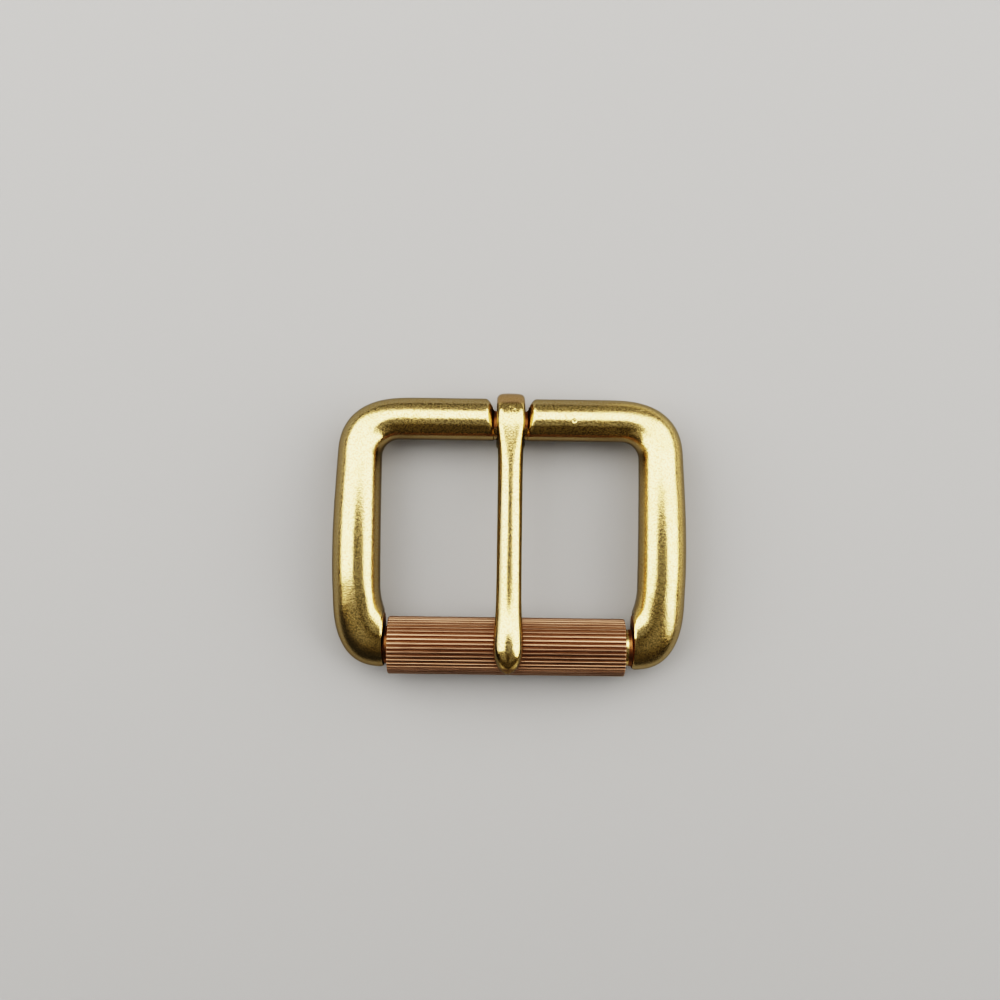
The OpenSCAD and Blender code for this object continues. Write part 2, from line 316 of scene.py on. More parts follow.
class Graph:
    """Adds nodes to a node tree and links them."""

    def __init__(self, tree: bpy.types.NodeTree) -> None:
        """Keeps the tree to add to."""
        self.tree = tree

    def node(self, kind: str, inputs: dict[str, object] | None = None, **settings: object
             ) -> bpy.types.Node:
        """Adds a node.

        Args:
            kind: the node's Blender type name.
            inputs: values or other nodes' sockets, by the name of the input.
            settings: the node's own properties, set before its inputs are fed.

        Returns:
            The new node.
        """
        made = self.tree.nodes.new(kind)
        for key, value in settings.items():
            setattr(made, key, value)
        for key, value in (inputs or {}).items():
            self.feed(made.inputs[key], value)
        return made

    def feed(self, socket: Socket, value: object) -> None:
        """Sets a socket or links to it.

        Args:
            socket: the input.
            value: another node's socket, a number, a vector, or a colour as three numbers.
        """
        if isinstance(value, Socket):
            self.tree.links.new(value, socket)
        elif socket.type == "RGBA":
            socket.default_value = (*value, 1.0)
        else:
            socket.default_value = value

    def noise(self, vector: Socket, scale: object, detail: float = 3.0, roughness: float = 0.5
              ) -> Socket:
        """Adds a noise.

        Args:
            vector: where it is read.
            scale: its features per metre, or a socket that gives them.
            detail: how many finer layers it has.
            roughness: how strong those are.

        Returns:
            The noise, from 0 to 1.
        """
        made = self.node("ShaderNodeTexNoise", {"Vector": vector, "Scale": scale, "Detail": detail,
                                                "Roughness": roughness})
        return made.outputs["Fac"]

    def math(self, operation: str, a: object, b: object = 0.0) -> Socket:
        """Adds a maths node.

        Args:
            operation: what it does, by Blender's name.
            a: its first value or socket.
            b: its second value or socket.

        Returns:
            The result.
        """
        made = self.node("ShaderNodeMath", operation=operation)
        self.feed(made.inputs[0], a)
        self.feed(made.inputs[1], b)
        return made.outputs[0]

    def ramp(self, value: object, span: Pair, out: Pair = (0.0, 1.0)) -> Socket:
        """Maps a value smoothly from one span to another.

        Args:
            value: the value or socket.
            span: where the mapping starts and ends.
            out: what it gives there, and beyond.

        Returns:
            The mapped value.
        """
        made = self.node("ShaderNodeMapRange",
                         {"Value": value, "From Min": span[0], "From Max": span[1],
                          "To Min": out[0], "To Max": out[1]}, interpolation_type="SMOOTHSTEP")
        return made.outputs["Result"]

    def mix(self, factor: object, a: object, b: object) -> Socket:
        """Mixes two colours.

        Args:
            factor: the share of the second one, or a socket that gives it.
            a: the first colour or socket.
            b: the second colour or socket.

        Returns:
            The mixed colour.
        """
        made = self.node("ShaderNodeMix", data_type="RGBA")
        for key, value in (("Factor", factor), ("A", a), ("B", b)):
            self.feed(made.inputs[key], value)
        return next(s for s in made.outputs if s.type == "RGBA")

    def mapping(self, vector: Socket, scale: Triple, turn: Triple = (0.0, 0.0, 0.0)) -> Socket:
        """Returns the vector turned and stretched."""
        made = self.node("ShaderNodeMapping", {"Vector": vector, "Scale": scale, "Rotation": turn})
        return made.outputs["Vector"]

    def distance(self, x: Socket, y: Socket) -> Socket:
        """Returns the distance whose two parts at right angles are x and y."""
        squares = self.math("ADD", self.math("MULTIPLY", x, x), self.math("MULTIPLY", y, y))
        return self.math("SQRT", squares)


def new_group(name: str, inputs: dict[str, float], outputs: list[str]
              ) -> tuple[bpy.types.NodeTree, Graph, bpy.types.Node, bpy.types.Node]:
    """Starts a shader node group that reads a vector and some values.

    Args:
        name: the group's name.
        inputs: the value inputs and what they are by default.
        outputs: the names of the value outputs.

    Returns:
        The group, its graph, and its input and output nodes.
    """
    tree = bpy.data.node_groups.new(name, "ShaderNodeTree")
    tree.interface.new_socket("Vector", in_out="INPUT", socket_type="NodeSocketVector")
    for key, value in inputs.items():
        made = tree.interface.new_socket(key, in_out="INPUT", socket_type="NodeSocketFloat")
        made.default_value = value
    for key in outputs:
        tree.interface.new_socket(key, in_out="OUTPUT", socket_type="NodeSocketFloat")
    graph = Graph(tree)
    return tree, graph, graph.node("NodeGroupInput"), graph.node("NodeGroupOutput")


class Skin:
    """The shader node groups for what shows on more than one of the metals."""

    def __init__(self) -> None:
        """Builds the groups once."""
        self.cast = self.build_cast()
        self.handling = self.build_handling()
        self.pock = self.build_pock()

    def build_cast(self) -> bpy.types.NodeTree:
        """Builds the skin of tumbled metal: broad waves, fine orange peel and pits.

        Returns:
            A group that puts out Height, Peel and Pits, each from 0 to 1.
        """
        tree, graph, given, out = new_group(
            "cast_skin", {"Wave Scale": 220.0, "Peel Scale": 4200.0, "Pit Scale": 900.0,
                          "Pit Patch Scale": 420.0, "Pit Depth": 0.25, "Wave Share": 0.3},
            ["Height", "Peel", "Pits"])
        where = given.outputs["Vector"]
        wave = graph.noise(where, given.outputs["Wave Scale"], 2.0, 0.4)
        peel = graph.noise(where, given.outputs["Peel Scale"], 3.0, 0.55)
        cells = graph.node("ShaderNodeTexVoronoi",
                           {"Vector": where, "Scale": given.outputs["Pit Scale"], "Randomness": 1.0})
        patch = graph.ramp(graph.noise(where, given.outputs["Pit Patch Scale"], 2.0), (0.52, 0.72))
        pits = graph.math("MULTIPLY", graph.ramp(cells.outputs["Distance"], (0.0, 0.16), FALLING),
                          patch)
        share = given.outputs["Wave Share"]
        waves = graph.math("MULTIPLY", wave, share)
        fine = graph.math("MULTIPLY", peel, graph.math("SUBTRACT", 1.0, share))
        hollows = graph.math("MULTIPLY", pits, given.outputs["Pit Depth"])
        height = graph.math("SUBTRACT", graph.math("ADD", waves, fine), hollows)
        for name, value in (("Height", height), ("Peel", peel), ("Pits", pits)):
            graph.feed(out.inputs[name], value)
        return tree

    def build_handling(self) -> bpy.types.NodeTree:
        """Builds the marks of handling: smudges and fine hairlines in two directions.

        Returns:
            A group that puts out Smudge and Hairline, each from 0 to 1.
        """
        tree, graph, given, out = new_group("handling", {"Smudge Scale": 170.0},
                                            ["Smudge", "Hairline"])
        where = given.outputs["Vector"]
        smudge = graph.ramp(graph.noise(where, given.outputs["Smudge Scale"], 4.0, 0.6), (0.42, 0.68))
        lines = []
        for turn in ((0.0, 0.0, 0.7), (0.2, 0.1, -0.5)):
            stretched = graph.mapping(where, (60.0, 4200.0, 4200.0), turn)
            lines.append(graph.ramp(graph.noise(stretched, 1.0, 1.0), (0.66, 0.74)))
        hairline = graph.math("MAXIMUM", *lines)
        for name, value in (("Smudge", smudge), ("Hairline", hairline)):
            graph.feed(out.inputs[name], value)
        return tree

    def build_pock(self) -> bpy.types.NodeTree:
        """Builds one small casting pock with a raised rim, seen from the front.

        Returns:
            A group that takes the pock's place and radius and puts out Height, about -1 in it.
        """
        tree, graph, given, out = new_group("pock", {"X": 0.0, "Y": 0.0, "Radius": 0.0004},
                                            ["Height"])
        cut = graph.node("ShaderNodeSeparateXYZ", {"Vector": given.outputs["Vector"]})
        x, y = (graph.math("SUBTRACT", cut.outputs[axis], given.outputs[axis]) for axis in "XY")
        share = graph.math("DIVIDE", graph.distance(x, y), given.outputs["Radius"])
        wobble = graph.noise(given.outputs["Vector"], 3000.0, 2.0)
        share = graph.math("ADD", share, graph.math("SUBTRACT", wobble, 0.5))
        hollow = graph.ramp(share, (0.45, 1.0), (-1.0, 0.0))
        rim = graph.math("MULTIPLY", graph.ramp(share, (0.8, 1.05)),
                         graph.ramp(share, (1.05, 1.5), (0.35, 0.0)))
        graph.feed(out.inputs["Height"], graph.math("ADD", hollow, rim))
        return tree


@dataclass(frozen=True)
class TarnishAndShade:
    """Tarnish and painted shade on the brass in the notch and beside the feet, where no tumbling
    reaches.

    Places are in millimetres in the model, and each span is the one over which the tarnish and
    painted shade comes or goes.

    Attributes:
        colour: its colour.
        rough: how much rougher it is.
        notch_x: across, where it goes on the notch's sides.
        notch_y: along, where it comes on the neck's outer half.
        before_foot: across, where it comes on the roller bar, from each foot's face.
        into_foot: across, where it goes past that face.
        roller_y: along, where it goes between the roller's side and the opening.
    """

    colour: Colour = (0.25, 0.12, 0.05)
    rough: float = 0.25
    notch_x: Pair = (2.8, 3.15)
    notch_y: Pair = (16.2, 17.0)
    before_foot: Pair = (-0.7, -0.5)
    into_foot: Pair = (0.0, 0.15)
    roller_y: Pair = (-12.0, -8.0)

    def share(self, graph: Graph, place: bpy.types.Node) -> Socket:
        """Finds how much tarnish and painted shade there is.

        Args:
            graph: the material's graph.
            place: the node that puts out X, Y and Z.

        Returns:
            Its share, from 0 to 1.
        """
        off = graph.math("ABSOLUTE", place.outputs["X"])
        notch = graph.math("MULTIPLY", graph.ramp(place.outputs["Y"], in_metres(self.notch_y)),
                           graph.ramp(off, in_metres(self.notch_x), FALLING))
        past_face = graph.math("SUBTRACT", off, LAYOUT.foot_x * MM)
        gap = graph.math("MULTIPLY", graph.ramp(past_face, in_metres(self.before_foot)),
                         graph.ramp(past_face, in_metres(self.into_foot), FALLING))
        bar = graph.math("MULTIPLY", gap,
                         graph.ramp(place.outputs["Y"], in_metres(self.roller_y), FALLING))
        return graph.math("MAXIMUM", notch, bar)


@dataclass(frozen=True)
class ShadedEnd:
    """The end of a piece with painted shade: a darker colour which comes in over a span along, in
    millimetres.
    """

    span: Pair
    colour: Colour


@dataclass(frozen=True)
class Pock:
    """A small casting pock: its place in the model and its radius, in millimetres."""

    x: float
    y: float
    radius: float


@dataclass(frozen=True)
class CastBrass:
    """Bright cast brass with a tumbled skin.

    Its rise, how far up its ring a point stands, says how much painted shade it gets.

    Attributes:
        name: the material's name.
        dark_to_bright: the rises over which the painted shade on a bar's sides gives way to the
            bright colour.
        right_less_shade_x: the places across over which the painted shade lessens to the right, in
            millimetres.
        right_less_shade: how much is added to the rise there, which paints the right side brighter.
        colour: the bright colour.
        deep: the colour of the smudges, which the grain takes darker.
        painted_flank_shade: the painted shade on a bar's sides.
        under: the darker painted shade round a bar's widest line.
        under_rise: the rises over which that one goes.
        pit: the colour in the pits.
        edge: the tint of what is reflected at a low angle.
        rough: the roughness of the skin.
        mark_rough: how much smudges and hairlines add to it.
        peel_depth: the depth of the skin's relief, in millimetres.
        pock_depth: how much deeper a pock is than that.
        blur: how far the skin shifts the lines between the colours, as a rise.
        blur_y: how far it shifts the lines of the ends' painted shade for each unit of that, in
            millimetres.
        tarnish_and_shade: the tarnish, with painted shade, where no tumbling reaches.
        ends: the piece's ends with painted shade.
        pocks: its pocks.
    """

    name: str
    dark_to_bright: Pair
    right_less_shade_x: Pair
    right_less_shade: float
    colour: Colour = (0.93, 0.68, 0.29)
    deep: Colour = (0.85, 0.59, 0.22)
    painted_flank_shade: Colour = (0.42, 0.34, 0.2)
    under: Colour = (0.18, 0.14, 0.09)
    under_rise: Pair = (0.15, 0.5)
    pit: Colour = (0.16, 0.09, 0.03)
    edge: Colour = (0.7, 0.68, 0.64)
    rough: float = 0.15
    mark_rough: float = 0.05
    peel_depth: float = 0.03
    pock_depth: float = 1.1
    blur: float = 0.16
    blur_y: float = 2.0
    tarnish_and_shade: TarnishAndShade | None = None
    ends: tuple[ShadedEnd, ...] = ()
    pocks: tuple[Pock, ...] = ()

    def material(self, skin: Skin) -> bpy.types.Material:
        """Builds the material.

        Args:
            skin: the shared node groups.

        Returns:
            The new material.
        """
        made, shader = new_material(self.name)
        graph = Graph(made.node_tree)
        where = graph.node("ShaderNodeTexCoord").outputs["Object"]
        place = graph.node("ShaderNodeSeparateXYZ", {"Vector": where})
        cast = graph.node("ShaderNodeGroup", {"Vector": where}, node_tree=skin.cast)
        marks = graph.node("ShaderNodeGroup", {"Vector": where}, node_tree=skin.handling)
        base = self.colour_with_painted_shade(graph, place, cast, marks)
        rough = self.roughness(graph, cast, marks)
        # Tarnish and painted shade darken the notch and the roller bar beside the feet.
        if self.tarnish_and_shade:
            dark = self.tarnish_and_shade.share(graph, place)
            base = graph.mix(dark, base, self.tarnish_and_shade.colour)
            rough = graph.math("ADD", rough, graph.math("MULTIPLY", dark, self.tarnish_and_shade.rough))
        height = cast.outputs["Height"]
        for pock in self.pocks:
            dent = graph.node("ShaderNodeGroup", {"Vector": where, "X": pock.x * MM, "Y": pock.y * MM,
                                                  "Radius": pock.radius * MM}, node_tree=skin.pock)
            deep = graph.math("MULTIPLY", dent.outputs["Height"], self.pock_depth)
            height = graph.math("ADD", height, deep)
        bump = graph.node("ShaderNodeBump", {"Strength": 1.0, "Distance": self.peel_depth * MM,
                                             "Height": height})
        graph.feed(shader.inputs["Base Color"], base)
        graph.feed(shader.inputs["Metallic"], 1.0)
        graph.feed(shader.inputs["Roughness"], rough)
        graph.feed(shader.inputs["Specular Tint"], self.edge)
        graph.feed(shader.inputs["Normal"], bump.outputs["Normal"])
        return made

    def colour_with_painted_shade(self, graph: Graph, place: bpy.types.Node, cast: bpy.types.Node,
                    marks: bpy.types.Node) -> Socket:
        """Colours the brass with painted shade on its sides and ends, its smudges, its grain and its
        pits.

        Args:
            graph: the material's graph.
            place: the node that puts out X, Y and Z.
            cast: the cast skin's node.
            marks: the handling marks' node.

        Returns:
            The colour, without the tarnish and painted shade.
        """
        peel = cast.outputs["Peel"]
        blur = graph.math("MULTIPLY", graph.math("SUBTRACT", peel, 0.5), self.blur)
        rise = graph.node("ShaderNodeAttribute", attribute_name=RingMesh.RISE).outputs["Fac"]
        rise = graph.math("ADD", graph.math("ABSOLUTE", rise), blur)
        # The right side gets less painted shade.
        more = graph.ramp(place.outputs["X"], in_metres(self.right_less_shade_x), (0.0, self.right_less_shade))
        rise = graph.math("ADD", rise, more)
        smudged = graph.math("MULTIPLY", marks.outputs["Smudge"], 0.55)
        base = graph.mix(smudged, self.colour, self.deep)
        # Painted shade: a bar's sides darker than its crown, darkest round its widest line.
        base = graph.mix(graph.ramp(rise, self.dark_to_bright, FALLING), base, self.painted_flank_shade)
        base = graph.mix(graph.ramp(rise, self.under_rise, FALLING), base, self.under)
        # Painted shade on the piece's ends.
        along = graph.math("ADD", place.outputs["Y"], graph.math("MULTIPLY", blur, self.blur_y * MM))
        for end in self.ends:
            base = graph.mix(graph.ramp(along, in_metres(end.span)), base, end.colour)
        grain = graph.ramp(peel, (0.38, 0.56), (0.6, 0.0))
        base = graph.mix(grain, base, tuple(0.4 * c for c in self.deep))
        return graph.mix(graph.math("MULTIPLY", cast.outputs["Pits"], 0.6), base, self.pit)

    def roughness(self, graph: Graph, cast: bpy.types.Node, marks: bpy.types.Node) -> Socket:
        """Makes the skin, its smudges and its hairlines unevenly rough.

        Args:
            graph: the material's graph.
            cast: the cast skin's node.
            marks: the handling marks' node.

        Returns:
            The roughness, without that of the tarnish and painted shade.
        """
        rough = graph.ramp(cast.outputs["Peel"], (0.2, 0.8), (self.rough - 0.03, self.rough + 0.05))
        for mark in ("Smudge", "Hairline"):
            more = graph.math("MULTIPLY", marks.outputs[mark], self.mark_rough)
            rough = graph.math("ADD", rough, more)
        return rough


@dataclass(frozen=True)
class FlutedCopper:
    """The roller's copper-coloured drawn metal, darkened in its flutes.

    Attributes:
        name: the material's name.
        outer_r: the roller's radius over its ridges.
        depth: the depth of its flutes.
        ridge: the ridges' colour.
        groove: the colour in the flutes.
        streak: how dark the drawing marks are, as a share of the ridges' colour.
        rough: the roughness.
        mark_rough: how much smudges add to it.
        line_depth: the depth of the drawing marks, in millimetres.
    """

    name: str
    outer_r: float
    depth: float
    ridge: Colour = (0.35, 0.218, 0.142)
    groove: Colour = (0.18, 0.093, 0.048)
    streak: float = 0.6
    rough: float = 0.3
    mark_rough: float = 0.08
    line_depth: float = 0.01

    def material(self, skin: Skin) -> bpy.types.Material:
        """Builds the material.

        Args:
            skin: the shared node groups.

        Returns:
            The new material.
        """
        made, shader = new_material(self.name)
        graph = Graph(made.node_tree)
        where = graph.node("ShaderNodeTexCoord").outputs["Object"]
        place = graph.node("ShaderNodeSeparateXYZ", {"Vector": where})
        marks = graph.node("ShaderNodeGroup", {"Vector": where}, node_tree=skin.handling)
        axis = {"Y": (-LAYOUT.reach - LAYOUT.middle_y) * MM, "Z": LAYOUT.level_z * MM}
        y, z = (graph.math("SUBTRACT", place.outputs[key], at) for key, at in axis.items())
        floor, ridge = self.outer_r - self.depth, self.outer_r - 0.12 * self.depth
        dark_to_bright = graph.ramp(graph.distance(y, z), in_metres((floor, ridge)))
        patch = graph.ramp(graph.noise(where, 240.0, 3.0, 0.6), (0.25, 0.6), (0.72, 1.0))
        base = graph.mix(graph.math("MULTIPLY", dark_to_bright, patch), self.groove, self.ridge)
        drawn = graph.noise(graph.mapping(where, (90.0, 5200.0, 5200.0)), 1.0, 3.0, 0.6)
        streak = graph.math("MULTIPLY", graph.ramp(drawn, (0.45, 0.75)), 0.45)
        base = graph.mix(streak, base, tuple(self.streak * c for c in self.ridge))
        smudged = graph.math("MULTIPLY", marks.outputs["Smudge"], self.mark_rough)
        rough = graph.ramp(drawn, (0.3, 0.7), (self.rough - 0.05, self.rough + 0.1))
        bump = graph.node("ShaderNodeBump", {"Strength": 1.0, "Distance": self.line_depth * MM,
                                             "Height": drawn})
        graph.feed(shader.inputs["Base Color"], base)
        graph.feed(shader.inputs["Metallic"], 1.0)
        graph.feed(shader.inputs["Roughness"], graph.math("ADD", rough, smudged))
        graph.feed(shader.inputs["Normal"], bump.outputs["Normal"])
        return made


@dataclass(frozen=True)
class Contour:
    """A point of the frame's outer edge and the point across from it on the inner edge."""

    outer: Vector
    inner: Vector


@dataclass
class Frame:
    """The cast frame: heel bar with its neck, two arms, their feet and the roller bar.

    Attributes:
        arm_w: the arms' width at the heel bar.
        arm_spread: how much wider they are at the roller.
        arm_bow: how far their outer edges bow out between.
        heel: the heel bar's crown.
        arm: the arms' crown.
        foot: the feet's crown.
        arm_from: how far towards the roller the heel bar's crown starts to turn into the arms'.
        arm_over: over how long it does.
        foot_from: how far towards the roller the arms' crown starts to turn into the feet's.
        foot_over: over how long it does.
        back_h: depth of the back below the centre plane.
        back_n: exponent of the back's form, which makes it flatter.
        arch_h: how high the arms' middles arch.
        heel_corner: size of the outer corners at the heel bar.
        foot_corner: size of the outer corners at the roller.
        corner_n: exponent of both.
        corner_in_r: radius of the inner corners at the heel bar.
        foot_curve: share of a foot's length over which its inner edge turns in.
        foot_turn: degrees that the outer edge turns round a foot.
        notch_floor_x: half the length of the notch's floor.
        notch_flare: how far the notch's sides flare out from there.
        notch_inner: how many times sooner they reach the heel bar's inner edge than its outer one.
        notch_slant: how much farther they stand from the prong on their outer half.
        neck_stops: places of the neck's sections.
        face_round: radius of the edge round a foot's face.
        face_edge: its sections, as shares of that: how far in, and how far before the face.
        bar_fillet: size of the fillet between the face and the roller bar.
        bar_stops: places of the roller bar's sections.
        sides: points of each section.
        steps: sections of each arm and of each corner.
        finish: the brass.
    """

    arm_w: float = 7.05
    arm_spread: float = 0.45
    arm_bow: float = 0.25
    heel: Crown = Crown(3.0, 1.95, 1.95, -0.1)
    arm: Crown = Crown(3.5, 1.8, 1.9, -0.25)
    foot: Crown = Crown(3.5, 1.5, 2.1, -1.05)
    arm_from: float = -1.0
    arm_over: float = 7.0
    foot_from: float = 24.4
    foot_over: float = 7.9
    back_h: float = 3.0
    back_n: float = 3.0
    arch_h: float = 1.9
    heel_corner: Pair = (11.5, 9.8)
    foot_corner: Pair = (7.9, 11.8)
    corner_n: float = 2.5
    corner_in_r: float = 2.6
    foot_curve: float = 0.45
    foot_turn: float = 96.0
    notch_floor_x: float = 2.7
    notch_flare: float = 0.85
    notch_inner: float = 3.0
    notch_slant: float = 0.45
    neck_stops: tuple[float, ...] = (0.0, 1.1, 2.0)
    face_round: float = 0.5
    face_edge: tuple[Pair, ...] = ((0.0, 1.0), (0.12, 0.5), (0.45, 0.12))
    bar_fillet: float = 0.1
    bar_stops: tuple[float, ...] = (18.6, 12.0, 6.0, 0.0)
    sides: int = 32
    steps: int = 12
    # The frame's brass paints shade on its sides, in the notch and beside the feet.
    finish: CastBrass = CastBrass(
        "cast_brass_frame", dark_to_bright=(0.6, 0.84), right_less_shade_x=(12.0, 20.0), right_less_shade=0.14,
        tarnish_and_shade=TarnishAndShade(), pocks=(Pock(9.95, 17.95, 0.4),))

    @property
    def outer_x(self) -> float:
        """Half the frame's width next to the heel bar."""
        return LAYOUT.inner_x + self.arm_w

    @property
    def foot_y(self) -> float:
        """Place of each foot's inner edge."""
        return -LAYOUT.reach + LAYOUT.foot_up

    @property
    def turn_y(self) -> float:
        """Place where the arm's straight inner edge starts to turn into its foot."""
        return self.foot_y + self.foot_curve * (LAYOUT.foot_up + LAYOUT.foot_out)

    def arch(self, y: float) -> float:
        """Returns the height of the arms' centre plane above the bars' at y."""
        t = min(1.0, max(0.0, -y / LAYOUT.reach))
        return self.arch_h * (1.0 - (2.0 * t - 1.0) ** 2)

    def across(self, at: Contour) -> Section:
        """Makes the bar's section between two points of its edges.

        Args:
            at: the two points.

        Returns:
            The section.
        """
        mid = (at.outer + at.inner) / 2
        side = at.outer - at.inner
        crown = self.heel.towards(self.arm, smooth((-mid.y - self.arm_from) / self.arm_over))
        crown = crown.towards(self.foot, smooth((-mid.y - self.foot_from) / self.foot_over))
        mid.z = self.arch(mid.y)
        return Section(mid, side.normalized(), Vector((0, 0, 1)), side.length / 2, crown,
                       self.back_h, self.back_n)

    def neck_sections(self) -> list[Section]:
        """Makes the neck and the notch's side.

        Returns:
            Their sections, from the middle to the notch's mouth.
        """
        y, r, half = LAYOUT.pivot_y, LAYOUT.neck_r, LAYOUT.heel_half
        side, up = Vector((0, 1, 0)), Vector((0, 0, 1))
        rows = [Section(Vector((x, y, 0)), side, up, r, Crown(r), r) for x in self.neck_stops]
        steps = 8
        for i in range(steps + 1):
            a = math.radians(90.0 * i / steps)
            t = math.sin(a)
            x = self.notch_floor_x + self.notch_flare * (1.0 - math.cos(a))
            outer, inner = lerp(y + r, half, t), lerp(y - r, -half, smooth(self.notch_inner * t))
            rows.append(Section(Vector((x, (outer + inner) / 2, 0)), side, up, (outer - inner) / 2,
                                Crown(r).towards(self.heel, t), lerp(r, self.back_h, t),
                                lerp(2.0, self.back_n, t)))
        return rows

    def slanted(self, section: Section) -> Callable[[float], Vector]:
        """Moves a section of the notch's side from the prong, on its outer half.

        Args:
            section: one of the neck's or the notch's sections.

        Returns:
            The section's point at an angle.
        """
        half, neck = LAYOUT.heel_half, LAYOUT.pivot_y + LAYOUT.neck_r
        share = max(0.0, (section.mid.y + section.half_w - neck) / (half - neck))

        def point(angle: float) -> Vector:
            """Finds a point of the section, moved along X.

            Args:
                angle: its direction from the middle.

            Returns:
                The point.
            """
            at = section.point(angle)
            at.x += share * self.notch_slant * smooth(1.0 + 2.0 * at.y / half)
            return at

        return point

    def heel_contours(self) -> list[Contour]:
        """Lays out the heel bar.

        Returns:
            Its edges' points, from the notch's mouth to the corner.
        """
        mouth = self.notch_floor_x + self.notch_flare + self.notch_slant
        end = LAYOUT.inner_x - self.corner_in_r
        half = LAYOUT.heel_half
        places = [lerp(mouth, end, share) for share in (0.02, 0.05, 0.12, 0.3, 0.5, 0.7, 0.84)]
        return [Contour(Vector((x, half, 0)), Vector((x, -half, 0))) for x in places]

    def corner_point(self, centre: Vector, size: Pair, degrees: float) -> Vector:
        """Finds a point of an outer corner's edge.

        Args:
            centre: the corner's centre.
            size: how far it reaches from there along X and along Y.
            degrees: the point's direction, from X towards Y.

        Returns:
            The point.
        """
        a = math.radians(degrees)
        return centre + Vector((size[0] * rounded(math.cos(a), self.corner_n),
                                size[1] * rounded(math.sin(a), self.corner_n), 0))

    def corner_contours(self) -> list[Contour]:
        """Lays out the corner at the heel bar.

        Returns:
            Its edges' points, from the heel bar to the arm.
        """
        half = LAYOUT.heel_half
        out_c = Vector((self.outer_x - self.heel_corner[0], half - self.heel_corner[1], 0))
        in_c = Vector((LAYOUT.inner_x - self.corner_in_r, -half - self.corner_in_r, 0))
        rows = []
        for i in range(self.steps + 1):
            degrees = 90.0 * (1.0 - i / self.steps)
            a = math.radians(degrees)
            turn = Vector((math.cos(a), math.sin(a), 0)) * self.corner_in_r
            rows.append(Contour(self.corner_point(out_c, self.heel_corner, degrees), in_c + turn))
        return rows

    def arm_contours(self) -> list[Contour]:
        """Lays out the arm between its corners.

        Returns:
            Its edges' points, from the heel bar's side to the roller's.
        """
        half = LAYOUT.heel_half
        out_0, out_1 = half - self.heel_corner[1], LAYOUT.end_y + self.foot_corner[1]
        in_0 = -half - self.corner_in_r
        rows = []
        for i in range(1, self.steps):
            t = i / self.steps
            bulge = self.arm_spread * smooth(t) + self.arm_bow * 4.0 * t * (1.0 - t)
            rows.append(Contour(Vector((self.outer_x + bulge, lerp(out_0, out_1, t), 0)),
                                Vector((LAYOUT.inner_x, lerp(in_0, self.turn_y, t), 0))))
        return rows

    def foot_contours(self) -> list[Contour]:
        """Lays out the corner at the roller.

        Returns:
            Its edges' points, from the arm to the foot's flat face.
        """
        out_c = Vector((self.outer_x + self.arm_spread - self.foot_corner[0],
                        LAYOUT.end_y + self.foot_corner[1], 0))
        rows = []
        for i in range(self.steps + 1):
            t = i / self.steps
            outer = self.corner_point(out_c, self.foot_corner, -self.foot_turn * t)
            inner_x = LAYOUT.inner_x - LAYOUT.foot_in * t * t
            inner = Vector((inner_x, lerp(self.turn_y, self.foot_y, t), 0))
            rows.append(Contour(outer, inner))
        rows[-1] = replace(rows[-1], outer=Vector((LAYOUT.foot_x, LAYOUT.end_y, 0)))
        return rows

    def face_sections(self, foot: Section) -> list[Section]:
        """Makes the foot's rounded edge, its flat face and the roller bar.

        Args:
            foot: the foot's full section at its face.

        Returns:
            Their sections, up to the bar's middle.
        """
        r = LAYOUT.roller_bar_r
        bar = Section(Vector((LAYOUT.foot_x, -LAYOUT.reach, 0)), foot.side, foot.up, r, Crown(r), r)
        edge = self.face_round
        rim = foot.shrunk(edge)
        rows = [foot.shrunk(inward * edge, before * edge) for inward, before in self.face_edge]
        rows += [rim, rim.towards(bar, 0.15), rim.towards(bar, 0.85), bar.shrunk(-self.bar_fillet),
                 bar.shrunk(0.0, -1.2 * self.bar_fillet)]
        rows += [bar.shrunk(0.0, x - LAYOUT.foot_x) for x in self.bar_stops]
        return rows

    def build(self) -> bpy.types.Object:
        """Builds the frame as one closed ring.

        Returns:
            The frame's object.
        """
        mesh = RingMesh(self.sides)
        for section in self.neck_sections():
            mesh.add(self.slanted(section))
        contours = self.heel_contours() + self.corner_contours() + self.arm_contours()
        foot = self.foot_contours()
        for at in contours + foot[:-1]:
            mesh.add(self.across(at).point)
        for section in self.face_sections(self.across(foot[-1])):
            mesh.add(section.point)
        bm = mesh.bm
        bmesh.ops.mirror(bm, geom=bm.verts[:] + bm.edges[:] + bm.faces[:],
                         matrix=Matrix.Identity(4), merge_dist=0.02 * MM, axis="X")
        return mesh.finish("brass_frame", levels=2)

    def dress(self, made: bpy.types.Object, skin: Skin) -> None:
        """Gives the frame its finish and puts it in the CAD node's place.

        Args:
            made: the frame's object.
            skin: the shared node groups.
        """
        made.data.materials.append(self.finish.material(skin))
        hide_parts("frame")
        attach(made, "frame_body")


